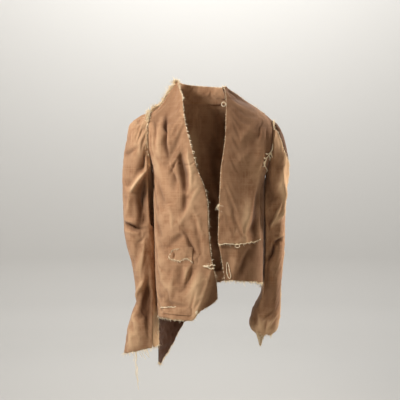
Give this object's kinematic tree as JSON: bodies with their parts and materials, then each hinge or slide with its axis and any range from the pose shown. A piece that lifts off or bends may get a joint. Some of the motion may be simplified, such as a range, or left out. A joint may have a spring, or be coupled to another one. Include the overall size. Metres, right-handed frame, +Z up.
{
  "type": "jacket",
  "caption": "Short ragged canvas jacket worn open, hollow, with raw edges, a torn turned front, loose upper layer and long back tail.",
  "frame": {"origin": "middle of the neck, level with the neck end of the shoulder seams", "axes": "+Z up, +X towards the wearer's left, the front faces -Y"},
  "size_m": [0.5158, 0.2645, 0.9559],
  "materials": {
    "canvas": "worn tan cotton canvas",
    "dark_canvas": "worn, darker tan cotton canvas",
    "thread": "bare cream cotton thread"
  },
  "bodies": {
    "root": {"front_right": "canvas", "front_left": "canvas", "back": "canvas", "collar_back": "canvas", "lapel_left": "canvas", "pocket_flap_right": "canvas", "hem_band_right": "canvas", "tab_right": "thread", "sleeve_right_top": "canvas", "sleeve_right_under": "canvas", "sleeve_left_front": "canvas", "sleeve_left_back": "dark_canvas", "fray_shoulder_right": "thread", "fray_hem_left": "thread", "fray_cuff_right": "thread"}
  },
  "joints": []
}
